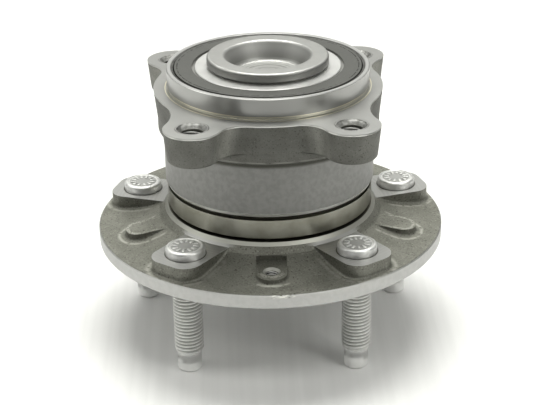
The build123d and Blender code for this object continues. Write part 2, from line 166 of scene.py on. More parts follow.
def minus(tree, first, second):
    """The first mask or number less the second."""
    return calc(tree, "SUBTRACT", first, second)


def distance(tree, along, across):
    """The length of a line with these two legs."""
    return calc(tree, "SQRT", calc(tree, "MULTIPLY_ADD", along, along, times(tree, across, across)))


print("tools for numbers ready")

# %% Tools for masks
def ramp(tree, value, start, end):
    """0 at start and 1 at end, smooth between; start may be above end."""
    step = tree.nodes.new("ShaderNodeMapRange")
    step.interpolation_type = "SMOOTHSTEP"
    feed(tree, step.inputs["Value"], value)
    step.inputs["From Min"].default_value = start
    step.inputs["From Max"].default_value = end
    return step.outputs["Result"]


def band(tree, value, start, end, soft):
    """1 between start and end, fading by soft to either side of both."""
    rise = ramp(tree, value, start - soft, start + soft)
    fall = ramp(tree, value, end + soft, end - soft)
    return times(tree, rise, fall)


def between(tree, share, first, second):
    """A number between two, by share."""
    step = tree.nodes.new("ShaderNodeMapRange")
    feed(tree, step.inputs["Value"], share)
    feed(tree, step.inputs["To Min"], first)
    feed(tree, step.inputs["To Max"], second)
    return step.outputs["Result"]


print("tools for masks ready")

# %% Tools for colours
def grey(level, olive=0.01):
    """A grey with a little less blue, which gives it an olive cast."""
    return (level, level, level - olive, 1)


def blend(tree, share, first, second):
    """A colour between two, by share."""
    step = tree.nodes.new("ShaderNodeMix")
    step.data_type = "RGBA"
    factor, first_colour, second_colour = step.inputs[0], step.inputs[6], step.inputs[7]
    feed(tree, factor, share)
    feed(tree, first_colour, first)
    feed(tree, second_colour, second)
    return step.outputs[2]


def tone(tree, colour, factor):
    """A colour made lighter or darker by a factor."""
    step = tree.nodes.new("ShaderNodeVectorMath")
    step.operation = "SCALE"
    tree.links.new(colour, step.inputs[0])
    feed(tree, step.inputs["Scale"], factor)
    return step.outputs[0]


print("tools for colours ready")

# %% Tools for places and patterns
def spot_in_mm(tree):
    """The spot on the piece as a vector in millimetres."""
    place = tree.nodes.new("ShaderNodeTexCoord")
    spot = tree.nodes.new("ShaderNodeVectorMath")
    spot.operation = "SCALE"
    spot.inputs["Scale"].default_value = 1 / MM
    tree.links.new(place.outputs["Object"], spot.inputs[0])
    return spot.outputs[0]


def axes_of(tree, spot):
    """A spot's x, y and height."""
    parts = tree.nodes.new("ShaderNodeSeparateXYZ")
    tree.links.new(spot, parts.inputs[0])
    x, y, height = parts.outputs
    return x, y, height


def radius_of(tree, spot):
    """A spot's distance from the spin axis."""
    return distance(tree, *axes_of(tree, spot)[:2])


def join_axes(tree, x, y, z):
    """One vector from three numbers or sockets."""
    step = tree.nodes.new("ShaderNodeCombineXYZ")
    for socket, value in zip(step.inputs, (x, y, z)):
        feed(tree, socket, value)
    return step.outputs[0]


def grain(tree, spot, size, detail=2.0, stretch=(1, 1, 1)):
    """Cloudy noise whose blobs are about size millimetres, from 0 to 1."""
    squeeze = tree.nodes.new("ShaderNodeVectorMath")
    squeeze.operation = "DIVIDE"
    tree.links.new(spot, squeeze.inputs[0])
    squeeze.inputs[1].default_value = [size * share for share in stretch]
    cloud = tree.nodes.new("ShaderNodeTexNoise")
    cloud.inputs["Scale"].default_value = 1.0
    cloud.inputs["Detail"].default_value = detail
    tree.links.new(squeeze.outputs[0], cloud.inputs["Vector"])
    return cloud.outputs["Fac"]


print("tools for places and patterns ready")

# %% Tools for finishes
def new_finish(name, metal=0.0):
    """A material, its node tree and its Principled shader."""
    finish = bpy.data.materials.new(name)
    finish.use_nodes = True
    shader = finish.node_tree.nodes["Principled BSDF"]
    shader.inputs["Metallic"].default_value = metal
    return finish, finish.node_tree, shader


def emboss(tree, shader, height):
    """Raises the surface by a height given in millimetres."""
    bump = tree.nodes.new("ShaderNodeBump")
    bump.inputs["Distance"].default_value = MM
    feed(tree, bump.inputs["Height"], height)
    tree.links.new(bump.outputs["Normal"], shader.inputs["Normal"])


def dress(finish, *names):
    """Gives the finish to CAD nodes."""
    for name in names:
        nodes[name].data.materials.clear()
        nodes[name].data.materials.append(finish)


print("tools for finishes ready")

# %% [markdown]
# ## Floor and light
# A part like this is shot on white paper in a light tent. Lamps alone would leave hard gaps in the steel's
# reflections, so part of the light is a soft dome. It is brightest behind the part and dim on the camera's
# side, so that level faces shine and upright ones stay grey. Four soft boxes add the glints. The paper is
# pale with faint streaks along the view. Its colour darkens toward the camera, a painted shade like the dim
# mouth of a tent, so the upright walls mirror something dim.

# %% Lay the floor
def deselect_all():
    """Nothing selected, so that the next operator touches only what it makes."""
    bpy.ops.object.select_all(action="DESELECT")


deselect_all()
bpy.ops.mesh.primitive_plane_add(size=6, location=(0, 0, floor_z))
floor = bpy.context.object
floor.name = "floor"
print("floor at", round(floor_z, 4))

# %% Light the tent
lamp_tint = (1.0, 1.005, 0.955)
bpy.context.scene.view_settings.view_transform = "Standard"
tent = bpy.data.worlds.new("tent")
bpy.context.scene.world = tent
tent.use_nodes = True
sky = tent.node_tree
direction = sky.nodes.new("ShaderNodeTexCoord")
split = sky.nodes.new("ShaderNodeSeparateXYZ")
sky.links.new(direction.outputs["Generated"], split.inputs["Vector"])
front_to_back = between(sky, ramp(sky, split.outputs["Y"], -0.4, 0.9), 0.045, 0.62)
low_to_high = between(sky, ramp(sky, split.outputs["Z"], 0.0, 0.4), 0.25, 1.0)
dome = sky.nodes["Background"]
dome.inputs["Color"].default_value = (*lamp_tint, 1)
feed(sky, dome.inputs["Strength"], times(sky, front_to_back, low_to_high))
print("sky with", len(sky.nodes), "nodes")


# %% Hang the soft boxes
def softbox(name, place, target, width, height, power):
    """A large flat lamp that faces a point; sizes in metres, power in watts."""
    lamp = bpy.data.lights.new(name, "AREA")
    lamp.shape = "RECTANGLE"
    lamp.size = width
    lamp.size_y = height
    lamp.energy = power
    lamp.color = lamp_tint
    holder = bpy.data.objects.new(name, lamp)
    bpy.context.scene.collection.objects.link(holder)
    holder.location = place
    holder.rotation_euler = (Vector(target) - Vector(place)).to_track_quat("-Z", "Y").to_euler()


middle = (0, 0, 0.03)
near_floor = (0, -0.15, 0.0)
softbox("top_box", (0.0, 0.3, 1.1), middle, width=0.9, height=0.6, power=15)
softbox("front_box", (0.0, -0.55, 1.0), near_floor, width=1.4, height=0.3, power=3.2)
softbox("left_box", (-0.95, -0.05, 0.65), middle, width=0.7, height=0.7, power=2.4)
softbox("right_box", (0.72, -0.62, 0.55), middle, width=0.5, height=0.6, power=2.8)
print("tent with", len(bpy.data.lights), "soft boxes")

# %% Paper floor
paper, tree, shader = new_finish("floor_paper")
spot = spot_in_mm(tree)
y = axes_of(tree, spot)[1]
radius = radius_of(tree, spot)
streaks_full_r = 120
streaks_end_r = 240
dim_y = -450
lit_y = -120
streak = ramp(tree, grain(tree, spot, 4.0, 2.0, (1, 60, 1)), 0.3, 0.7)
streak = times(tree, streak, ramp(tree, radius, streaks_end_r, streaks_full_r))
# The floor's colour darkens toward the camera: painted shade.
painted_floor_shade = between(tree, ramp(tree, y, dim_y, lit_y), 0.42, 1.0)
paper_tone = times(tree, between(tree, streak, 0.90, 0.86), painted_floor_shade)
feed(tree, shader.inputs["Base Color"], join_axes(tree, paper_tone, paper_tone, paper_tone))
shader.inputs["Roughness"].default_value = 0.6
floor.data.materials.append(paper)
print("floor finish with", len(tree.nodes), "nodes")

# %% [markdown]
# ## The hub's steel
# One forging carries two kinds of skin. The die leaves a dark, grainy, slightly olive skin on the back of
# the flange. The lathe leaves bright faces on the rim, the pads, the shoulder and the formed lip. A
# material slot for each zone could part them, but the CAD mesh has to stay as it is. So one material works
# out the zone from each spot's place. The angle is folded into one fifth of a turn, so that one rounded
# outline serves all five pads.

# %% Fold the flange into one fifth of a turn
def fold_fifth(tree, x, y, radius, turn):
    """Distances along and across the nearest of five spokes; the first spoke is at turn."""
    angle = calc(tree, "ARCTAN2", y, x)
    share = calc(tree, "MULTIPLY_ADD", angle, 1 / stud_step, 0.5 - turn / stud_step)
    swing = times(tree, minus(tree, calc(tree, "FRACT", share), 0.5), stud_step)
    along = times(tree, radius, calc(tree, "COSINE", swing))
    across = calc(tree, "ABSOLUTE", times(tree, radius, calc(tree, "SINE", swing)))
    return along, across


def tongue_distance(tree, along, across, end, half_width, corner):
    """How far a spot is outside a tongue that reaches out to end, with rounded corners."""
    over_end = most(tree, minus(tree, along, end - corner), 0.0)
    over_side = most(tree, minus(tree, across, half_width - corner), 0.0)
    return minus(tree, distance(tree, over_end, over_side), corner)


print("one fifth of the flange is", round(stud_step, 4), "radians")

# %% Outlines of pads, ribs and boss
hub_finish, tree, shader = new_finish("hub_forging", metal=1.0)
spot = spot_in_mm(tree)
x, y, height = axes_of(tree, spot)
radius = radius_of(tree, spot)
pad_outline = (69.7, 11.0, 7.0)
rib_outline = (62.5, 6.0, 5.5)
screw_circle_r = 56.6
pad_along, pad_across = fold_fifth(tree, x, y, radius, stud_turn)
rib_along, rib_across = fold_fifth(tree, x, y, radius, rib_turn)
off_pad = tongue_distance(tree, pad_along, pad_across, *pad_outline)
off_rib = tongue_distance(tree, rib_along, rib_across, *rib_outline)
from_stud = distance(tree, minus(tree, pad_along, stud_circle_r), pad_across)
past_screw = minus(tree, rib_along, screw_circle_r)
from_screw = distance(tree, past_screw, rib_across)
print("outlines take", len(tree.nodes), "nodes")

# %% [markdown]
# The lathe's cut ends sharply at a pad's edge. Higher up, where the pad runs into the shoulder, the cut
# fades out, so there the edge of the mask is soft. The pocket on the wheel side is forged too.

# %% Zones of the flange
pad_top_z = 11.7
back_low_z = 5.62
back_top_z = 12.8
back_inner_r = 43.9
pocket_r = 27.6
pocket_top_z = 39.0
run_up = ramp(tree, height, pad_top_z + 0.1, pad_top_z + 0.3)
cut_edge = between(tree, run_up, ramp(tree, off_pad, 0.3, 0.1), ramp(tree, off_pad, 4.0, -3.0))
on_pad_top = times(tree, cut_edge, ramp(tree, height, pad_top_z - 0.04, pad_top_z + 0.04))
back_height = band(tree, height, back_low_z, back_top_z, 0.05)
on_back = times(tree, back_height, band(tree, radius, back_inner_r, flange_r - 0.4, 0.1))
pocket_depth = ramp(tree, height, pocket_top_z + 1.0, pocket_top_z)
in_pocket = times(tree, ramp(tree, radius, pocket_r + 0.6, pocket_r), pocket_depth)
forged = most(tree, minus(tree, on_back, on_pad_top), in_pocket)
print("flange zones take the tree to", len(tree.nodes), "nodes")

# %% Zones of the boss
boss_back_y = -45.0
boss_half_width = 8.0
screw_mouth_r = 3.4
screw_bore_r = 2.5
off_middle = calc(tree, "ABSOLUTE", x)
in_front = ramp(tree, y, boss_back_y, boss_back_y - 1.0)
on_boss = times(tree, in_front, ramp(tree, off_middle, boss_half_width + 1.0, boss_half_width))
by_boss = times(tree, in_front, ramp(tree, off_middle, boss_half_width + 6.0, boss_half_width + 5.0))
on_screw = times(tree, on_boss, ramp(tree, from_screw, screw_mouth_r + 0.1, screw_mouth_r))
print("boss zones take the tree to", len(tree.nodes), "nodes")

# %% Zones of the lip and shoulder
lip_height = 8.0
dish_mouth_r = 20.5
dish_floor_r = 14.4
shoulder_low_z = 12.75
shoulder_top_z = 14.4
shoulder_r = 42.8
seat_inner_r = 34.0
on_lip = ramp(tree, height, lip_top_z - lip_height - 0.2, lip_top_z - lip_height)
on_lip_top = ramp(tree, height, lip_top_z - 0.9, lip_top_z - 0.2)
in_dish = times(tree, ramp(tree, radius, dish_mouth_r + 1.0, dish_mouth_r), on_lip)
floor_disc = ramp(tree, radius, dish_floor_r + 1.0, dish_floor_r)
on_dish_floor = times(tree, floor_disc, minus(tree, on_lip, on_lip_top))
on_dish_wall = minus(tree, minus(tree, in_dish, on_lip_top), on_dish_floor)
shoulder_height = band(tree, height, shoulder_low_z, shoulder_top_z, 0.05)
on_shoulder = times(tree, shoulder_height, ramp(tree, radius, shoulder_r - 0.1, shoulder_r + 0.1))
seat_height = band(tree, height, shoulder_top_z - 0.3, shoulder_top_z, 0.04)
on_seat = times(tree, seat_height, band(tree, radius, seat_inner_r, shoulder_r, 0.1))
print("hub zones take", len(tree.nodes), "nodes")

# %% [markdown]
# Thin, broken bright lines are painted highlights: round the foot of each pad and rib, along the rib's
# upper edge and on the front of the screw boss. Each is a narrow band of the outlines' distance, broken up
# by the grain.
# A line's three numbers are its start, its end and how softly both fade.

# %% Grain of the forging
coarse = grain(tree, spot, 9.0, 3.0)
middling = grain(tree, spot, 2.2, 3.0)
fine = grain(tree, spot, 0.7, 2.0)
patchy = ramp(tree, fine, 0.3, 0.6)
print("grain takes the tree to", len(tree.nodes), "nodes")

# %% Painted highlights of the forging
pad_foot_line = (1.2, 2.8, 0.8)
rib_foot_line = (2.0, 3.2, 0.6)
rib_edge_line = (-1.5, -0.3, 0.35)
boss_edge_line = (3.9, 5.6, 0.5)
pad_foot_strength = 0.8
pad_reach = ramp(tree, radius, 49.0, 53.0)
pad_foot = times(tree, band(tree, off_pad, *pad_foot_line), pad_reach, pad_foot_strength)
rib_reach = ramp(tree, rib_along, 47.0, 49.0)
boss_reach = ramp(tree, rib_along, 61.5, 63.5)
rib_foot = times(tree, band(tree, off_rib, *rib_foot_line), between(tree, by_boss, rib_reach, boss_reach))
feet = times(tree, most(tree, pad_foot, rib_foot), ramp(tree, middling, 0.32, 0.52))
rib_edge = times(tree, band(tree, off_rib, *rib_edge_line), ramp(tree, rib_along, 47.5, 52.0))
rib_edge = times(tree, rib_edge, minus(tree, ramp(tree, coarse, 0.3, 0.6), on_boss))
boss_edge = times(tree, band(tree, from_screw, *boss_edge_line), ramp(tree, past_screw, 0.0, 3.0), on_boss)
painted_highlight_lines = most(tree, feet, times(tree, boss_edge, patchy), times(tree, rib_edge, patchy))
print("bright lines take the tree to", len(tree.nodes), "nodes")

# %% Colour of the forged skin
dark_scale = grey(0.21, olive=0.026)
pale_scale = grey(0.265, olive=0.03)
pit = grey(0.09, olive=0.015)
fleck = grey(0.36, olive=0.035)
highlight_line_grey = grey(0.44, olive=0.04)
scale_colour = blend(tree, ramp(tree, coarse, 0.3, 0.7), dark_scale, pale_scale)
scale_colour = blend(tree, ramp(tree, fine, 0.45, 0.25), scale_colour, pit)
scale_colour = blend(tree, ramp(tree, fine, 0.58, 0.75), scale_colour, fleck)
# Painted highlights: the bright lines lighten the scale.
scale_colour = blend(tree, painted_highlight_lines, scale_colour, highlight_line_grey)
print("forged skin takes the tree to", len(tree.nodes), "nodes")

# %% [markdown]
# The turned faces differ in tone, because each was cut by another tool. The pads show the tool's rings
# about the spin axis, and round each stud head runs a dark line of painted shadow. The seat under the
# seal sleeve is dark.

# %% Colour of the turned faces
dark_seat = (0.15, 0.145, 0.12, 1)
tool_rings = grain(tree, join_axes(tree, radius, 0.0, 0.0), 0.9, 2.0)
turned_colour = blend(tree, ramp(tree, middling, 0.35, 0.65), grey(0.46), grey(0.50))
pad_colour = blend(tree, tool_rings, grey(0.38), grey(0.56))
turned_colour = blend(tree, on_pad_top, turned_colour, pad_colour)
# A dark ring round each stud head: painted shadow.
head_ring_painted_shadow = times(tree, ramp(tree, from_stud, head_r + 0.7, head_r + 0.2), on_pad_top)
turned_colour = blend(tree, head_ring_painted_shadow, turned_colour, grey(0.09))
turned_colour = blend(tree, on_shoulder, turned_colour, grey(0.46, olive=0.04))
turned_colour = blend(tree, on_seat, turned_colour, dark_seat)
print("turned faces take the tree to", len(tree.nodes), "nodes")

# %% [markdown]
# The lip is rolled over the inner ring when the unit is put together, which leaves it smooth. Its outside
# is darkened as painted shade, its top is brighter, and the wall of its dish darkens with depth as painted
# shade. The dish's floor keeps the rings of an earlier cut.

# %% Colour of the formed lip
# The dish's wall darkens with depth: painted shade.
dish_painted_shade_depth = ramp(tree, height, lip_top_z - 2.0, lip_top_z - 6.0)
dish_painted_shade = blend(tree, dish_painted_shade_depth, grey(0.42), grey(0.29))
lip_top_colour = blend(tree, middling, grey(0.40), grey(0.47))
dish_floor_colour = blend(tree, ramp(tree, tool_rings, 0.35, 0.65), grey(0.26), grey(0.56))
# The lip's outside is dark: painted shade.
lip_colour = blend(tree, middling, grey(0.27), grey(0.33))
lip_colour = blend(tree, in_dish, lip_colour, dish_painted_shade)
lip_colour = blend(tree, on_lip_top, lip_colour, lip_top_colour)
lip_colour = blend(tree, on_dish_floor, lip_colour, dish_floor_colour)
turned_colour = blend(tree, on_lip, turned_colour, lip_colour)
print("lip takes the tree to", len(tree.nodes), "nodes")

# %% [markdown]
# The upper edge of the rim was knocked in two places at the front. Such chips are too small to be worth
# cutting into the mesh, so a stretched noise marks bare and stained flakes there.

# %% Chips on the rim
chip_front_y = -71.0
chip_low_z = 4.2
bare_chip = grey(0.75, olive=0.05)
stained_chip = (0.13, 0.12, 0.08, 1)
middle_chips = (-2.0, 7.0, 1.0)
right_chips = (12.0, 18.0, 1.0)
chip = grain(tree, spot, 0.9, 2.0, (2.5, 1, 1))
chipped = most(tree, band(tree, x, *middle_chips), band(tree, x, *right_chips))
chipped = times(tree, chipped, ramp(tree, y, chip_front_y, chip_front_y - 0.4))
chipped = times(tree, chipped, ramp(tree, height, chip_low_z, chip_low_z + 1.0))
bare = times(tree, chipped, ramp(tree, chip, 0.5, 0.6))
stained = times(tree, chipped, ramp(tree, chip, 0.42, 0.34))
turned_colour = blend(tree, bare, turned_colour, bare_chip)
turned_colour = blend(tree, stained, turned_colour, stained_chip)
print("chips take the tree to", len(tree.nodes), "nodes")

# %% Put the hub's finish together
screw_face = ramp(tree, from_screw, screw_bore_r, screw_bore_r + 0.1)
# Inside the screw's bore the colour is near black: painted shade.
screw_colour = blend(tree, screw_face, grey(0.11), grey(0.46, olive=0.03))
hub_colour = blend(tree, on_screw, blend(tree, forged, turned_colour, scale_colour), screw_colour)
feed(tree, shader.inputs["Base Color"], hub_colour)
turned_rough = between(tree, on_dish_wall, between(tree, middling, 0.42, 0.52), 0.58)
scale_rough = between(tree, fine, 0.56, 0.70)
feed(tree, shader.inputs["Roughness"], between(tree, forged, turned_rough, scale_rough))
ring_pitch = 0.35
ring_depth = 0.0012
rings = calc(tree, "SINE", times(tree, calc(tree, "ADD", radius, height), FULL_TURN / ring_pitch))
skin = calc(tree, "MULTIPLY_ADD", middling, 0.14, times(tree, fine, 0.12))
emboss(tree, shader, between(tree, forged, times(tree, rings, ring_depth), skin))
dress(hub_finish, "hub")
print("hub finish with", len(tree.nodes), "nodes")

# %% [markdown]
# ## The outer ring's steel
# The knuckle pilot is ground and shiny. The ears' top face is turned. Their flanks keep the dark forged
# skin, and the barrel below is blasted to an even grey. As on the hub, radius and height tell these zones
# apart. The bolt holes are found by the distance from the nearest hole's axis, folded over the middle.

# %% Zones of the ring
ring_finish, tree, shader = new_finish("ring_forging", metal=1.0)
spot = spot_in_mm(tree)
x, y, height = axes_of(tree, spot)
radius = radius_of(tree, spot)
barrel_r = 43.4
foot_r = 42.2
collar_low_z = 48.7
above_face = ramp(tree, height, ear_face_z + 0.02, ear_face_z + 0.2)
on_pilot = times(tree, ramp(tree, radius, pilot_r + 0.3, pilot_r + 0.1), above_face)
level_face = band(tree, height, ear_face_z - 0.03, ear_face_z + 0.03, 0.02)
on_face = times(tree, level_face, ramp(tree, radius, pilot_r, pilot_r + 0.2))
under_collar = ramp(tree, height, collar_low_z - 0.1, collar_low_z - 1.3)
on_barrel = times(tree, under_collar, ramp(tree, radius, barrel_r + 0.4, barrel_r + 0.1))
foot_height = band(tree, height, ear_face_z - 0.5, ear_face_z + 1.3, 0.05)
at_foot = times(tree, ramp(tree, radius, foot_r + 0.05, foot_r - 0.05), foot_height)
forged = minus(tree, 1.0, most(tree, on_pilot, on_face, on_barrel, at_foot))
on_rim = ramp(tree, height, pilot_top_z - 0.28, pilot_top_z - 0.22)
print("ring zones take", len(tree.nodes), "nodes")

# %% Bolt holes of the ears
mouth_r = 6.0
side = calc(tree, "SIGN", x)
is_back = calc(tree, "GREATER_THAN", y, 0.0)
front_x = calc(tree, "MULTIPLY_ADD", side, -front_ear_x, x)
back_x = calc(tree, "MULTIPLY_ADD", side, -back_ear_x, x)
hole_x = between(tree, is_back, front_x, back_x)
hole_y = between(tree, is_back, minus(tree, y, front_ear_y), minus(tree, y, back_ear_y))
from_hole = distance(tree, hole_x, hole_y)
in_hole = ramp(tree, from_hole, ear_bore_r + 0.15, ear_bore_r + 0.05)
mouth_height = band(tree, height, ear_face_z - 2.1, ear_face_z - 0.06, 0.03)
on_mouth = times(tree, band(tree, from_hole, ear_bore_r + 0.15, mouth_r, 0.04), mouth_height)
print("bolt holes take the tree to", len(tree.nodes), "nodes")

# %% [markdown]
# The forged flanks are darker than the hub's and finer in grain. The real creases beside the ears are
# wider and catch more light than the model's, so their colour is lifted as painted light. The shelf between
# the front ears is darkened as painted shade, and a pale painted highlight runs along the collar's lower
# edge. The ears' upper edge carries a bright painted highlight.

# %% Colour of the forged flanks
coarse = grain(tree, spot, 8.0, 3.0)
middling = grain(tree, spot, 2.0, 3.0)
fine = grain(tree, spot, 0.6, 2.0)
dark_scale = grey(0.158, olive=0.014)
pale_scale = grey(0.195, olive=0.015)
collar_edge_highlight = grey(0.26, olive=0.02)
ear_edge_highlight = grey(0.72, olive=0.03)
scale_colour = blend(tree, ramp(tree, coarse, 0.3, 0.7), dark_scale, pale_scale)
scale_colour = blend(tree, ramp(tree, fine, 0.45, 0.25), scale_colour, grey(0.09))
scale_colour = blend(tree, ramp(tree, fine, 0.6, 0.78), scale_colour, grey(0.25, olive=0.02))
print("flank grain takes the tree to", len(tree.nodes), "nodes")

# %% Tone and edges of the flanks
crease_inner_r = 48.8
crease_outer_r = 57.0
crease_painted_light = 0.6
shelf_r = 46.8
shelf_low_z = 50.0
shelf_top_z = 56.0
shelf_painted_shade = 0.18
# The creases are lifted as painted light and the shelf is darkened as painted shade.
in_crease = band(tree, radius, crease_inner_r, crease_outer_r, 1.8)
shelf_height = ramp(tree, height, shelf_low_z, shelf_top_z)
on_shelf = times(tree, ramp(tree, radius, shelf_r + 0.8, shelf_r), shelf_height)
flank_tone = calc(tree, "MULTIPLY_ADD", in_crease, crease_painted_light, 1.0)
flank_tone = calc(tree, "MULTIPLY_ADD", on_shelf, -shelf_painted_shade, flank_tone)
scale_colour = tone(tree, scale_colour, flank_tone)
# A pale line along the collar's lower edge: painted highlight.
collar_edge = band(tree, height, collar_low_z, collar_low_z + 0.7, 0.15)
collar_edge = times(tree, collar_edge, ramp(tree, coarse, 0.3, 0.5))
scale_colour = blend(tree, collar_edge, scale_colour, collar_edge_highlight)
# The ears' upper edge is painted bright: painted highlight.
ear_edge = band(tree, height, ear_face_z - 0.65, ear_face_z, 0.1)
ear_edge = times(tree, ear_edge, ramp(tree, coarse, 0.2, 0.45))
scale_colour = blend(tree, ear_edge, scale_colour, ear_edge_highlight)
print("flanks take the tree to", len(tree.nodes), "nodes")

# %% [markdown]
# The barrel darkens in the shade of the collar. At its lower end a taper is painted bright as painted
# light, and below it the gap over the seal sleeve is painted dark as painted shadow. Round the pilot's foot
# the groove's steel is lightened as painted light against its shade, with a bright line there that is a
# little warmer than the steel.

# %% Colour of the barrel and the pilot
collar_shade_z = 46.9
taper_z = 26.4
gap_z = 25.2
gap_painted_shadow = (0.06, 0.058, 0.046, 1)
foot_painted_light = (0.60, 0.595, 0.555, 1)
foot_shine = (0.88, 0.84, 0.69, 1)
barrel_grain = ramp(tree, middling, 0.3, 0.7)
barrel_colour = blend(tree, barrel_grain, grey(0.225, olive=0.008), grey(0.262, olive=0.009))
in_shade = ramp(tree, height, collar_shade_z - 1.5, collar_shade_z)
barrel_colour = blend(tree, in_shade, barrel_colour, grey(0.075))
# The taper is painted bright: painted light.
on_taper = ramp(tree, height, taper_z + 0.2, taper_z - 0.2)
barrel_colour = blend(tree, on_taper, barrel_colour, grey(0.92, olive=0.03))
# The gap over the seal sleeve is painted dark: painted shadow.
barrel_colour = blend(tree, ramp(tree, height, gap_z, gap_z - 0.3), barrel_colour, gap_painted_shadow)
foot_line = band(tree, height, ear_face_z + 1.0, ear_face_z + 1.3, 0.1)
foot_line = most(tree, ramp(tree, radius, foot_r - 0.5, foot_r - 0.4), foot_line)
# The foot's groove is lightened against its shade: painted light.
foot_colour = blend(tree, foot_line, foot_painted_light, foot_shine)
face_colour = blend(tree, coarse, grey(0.42), grey(0.49))
mouth_colour = blend(tree, ramp(tree, middling, 0.35, 0.65), grey(0.21), grey(0.37))
print("barrel and pilot take the tree to", len(tree.nodes), "nodes")

# %% Lay the ring's colours over each other
ring_colour = blend(tree, on_barrel, scale_colour, barrel_colour)
ring_colour = blend(tree, on_face, ring_colour, face_colour)
ring_colour = blend(tree, on_mouth, ring_colour, mouth_colour)
ring_colour = blend(tree, on_pilot, ring_colour, grey(0.38))
# The pilot's rim chamfer is painted pale: painted highlight.
ring_colour = blend(tree, on_rim, ring_colour, grey(0.80))
ring_colour = blend(tree, at_foot, ring_colour, foot_colour)
# Inside the bolt holes the colour is near black: painted shade.
ring_colour = blend(tree, in_hole, ring_colour, grey(0.11))
feed(tree, shader.inputs["Base Color"], ring_colour)
print("ring colours take the tree to", len(tree.nodes), "nodes")

# %% [markdown]
# A worn edge is slightly round, and a round edge is what catches the light. The CAD edge is sharp, so a
# bump bends the surface's normal over the last 0.8 mm below the ears' face, more and more toward the edge.

# %% Gloss and relief of the ring
edge_round = 0.8
rough = between(tree, on_barrel, between(tree, fine, 0.52, 0.68), between(tree, fine, 0.42, 0.52))
rough = between(tree, on_face, rough, between(tree, middling, 0.38, 0.48))
rough = between(tree, on_pilot, rough, between(tree, coarse, 0.27, 0.36))
rough = between(tree, band(tree, height, ear_face_z - 0.6, ear_face_z - 0.1, 0.1), rough, 0.35)
feed(tree, shader.inputs["Roughness"], rough)
skin = calc(tree, "MULTIPLY_ADD", middling, 0.20, times(tree, fine, 0.10))
skin = times(tree, skin, forged, ramp(tree, height, ear_face_z, ear_face_z - 1.0))
skin = calc(tree, "MULTIPLY_ADD", times(tree, fine, on_barrel), 0.03, skin)
below_face = minus(tree, ear_face_z, calc(tree, "MINIMUM", height, ear_face_z))
rise = most(tree, minus(tree, edge_round, below_face), 0.0)
fall = times(tree, rise, rise, ramp(tree, from_hole, mouth_r + 0.3, mouth_r + 0.6))
emboss(tree, shader, calc(tree, "MULTIPLY_ADD", fall, -1 / edge_round, skin))
dress(ring_finish, "outer_ring")
print("ring finish with", len(tree.nodes), "nodes")

# %% [markdown]
# ## Bearing steel
# The inner ring and the balls are hardened and ground. Anisotropic gloss could blur the fine grinding
# rings into one streak. A tiny bump in rings is used instead, because it shows single rings close up.

# %% Ground bearing steel
bearing_finish, tree, shader = new_finish("bearing_steel_ground", metal=1.0)
spot = spot_in_mm(tree)
radius = radius_of(tree, spot)
cloud = grain(tree, spot, 5.0, 3.0)
feed(tree, shader.inputs["Base Color"], blend(tree, cloud, grey(0.76), grey(0.82)))
feed(tree, shader.inputs["Roughness"], between(tree, cloud, 0.36, 0.46))
grinding_pitch = 0.3
grinding_depth = 0.001
rings = calc(tree, "SINE", times(tree, radius, FULL_TURN / grinding_pitch))
emboss(tree, shader, times(tree, rings, grinding_depth))
balls = [name for name in nodes if name.startswith("ball_")]
dress(bearing_finish, "inner_ring", *balls)
print("bearing steel on the inner ring and", len(balls), "balls")

# %% [markdown]
# ## Seals and cages
# The seals' cases and the encoder's carrier are pressed sheet, and the inboard case is coated with rubber.
# The lips are soft black rubber and the cages are glass-filled nylon. Several of these are one cloudy
# tone, so one function makes them, each with its own grain and gloss.

# %% Pressed sheet
def cloudy_finish(name, metal, size, colours, gloss, stretch=(1, 1, 1)):
    """A finish whose colour and roughness drift together with one cloudy grain."""
    finish, tree, shader = new_finish(name, metal)
    cloud = grain(tree, spot_in_mm(tree), size, 3.0, stretch)
    feed(tree, shader.inputs["Base Color"], blend(tree, cloud, *colours))
    feed(tree, shader.inputs["Roughness"], between(tree, cloud, *gloss))
    return finish


sheet_colours = (grey(0.46, olive=0.02), grey(0.56, olive=0.02))
sheet_finish = cloudy_finish("pressed_sheet", 1.0, 2.0, sheet_colours, (0.26, 0.40))
dress(sheet_finish, "inboard_slinger", "outboard_seal_case")
print("made", sheet_finish.name)

# %% Rubber-coated sheet
coat_finish, tree, shader = new_finish("rubber_coated_sheet")
cloud = grain(tree, spot_in_mm(tree), 2.5, 3.0)
worn_coat = ramp(tree, cloud, 0.35, 0.6)
coat_colour = blend(tree, worn_coat, grey(0.02, olive=0.002), grey(0.075, olive=0.005))
feed(tree, shader.inputs["Base Color"], coat_colour)
feed(tree, shader.inputs["Roughness"], between(tree, cloud, 0.42, 0.55))
dress(coat_finish, "inboard_seal_case")
print("made", coat_finish.name)

# %% [markdown]
# The sleeve between ring and flange is drawn stainless sheet. Drawing leaves fine scratches along the
# sleeve, and handling leaves oily smears, so two grains are laid over each other.

# %% Drawn sleeve
dark_smear = (0.29, 0.285, 0.24, 1)
pale_smear = (0.37, 0.365, 0.32, 1)
sleeve_finish, tree, shader = new_finish("drawn_sleeve", metal=1.0)
spot = spot_in_mm(tree)
smear = grain(tree, spot, 9.0, 3.0)
drawn = grain(tree, spot, 1.0, 2.0, (1, 1, 12))
feed(tree, shader.inputs["Base Color"], blend(tree, ramp(tree, smear, 0.35, 0.65), dark_smear, pale_smear))
feed(tree, shader.inputs["Roughness"], between(tree, drawn, 0.28, 0.40))
emboss(tree, shader, times(tree, drawn, 0.01))
dress(sleeve_finish, "outboard_seal_sleeve")
print("made", sleeve_finish.name)

# %% [markdown]
# The encoder is rubber filled with magnetic powder, so it shows pale specks. Near its outer edge runs a
# ragged, dull groove, painted near black as the shadow of a gap. It is a band of the radius, with noise
# added to the radius so that the line wanders.

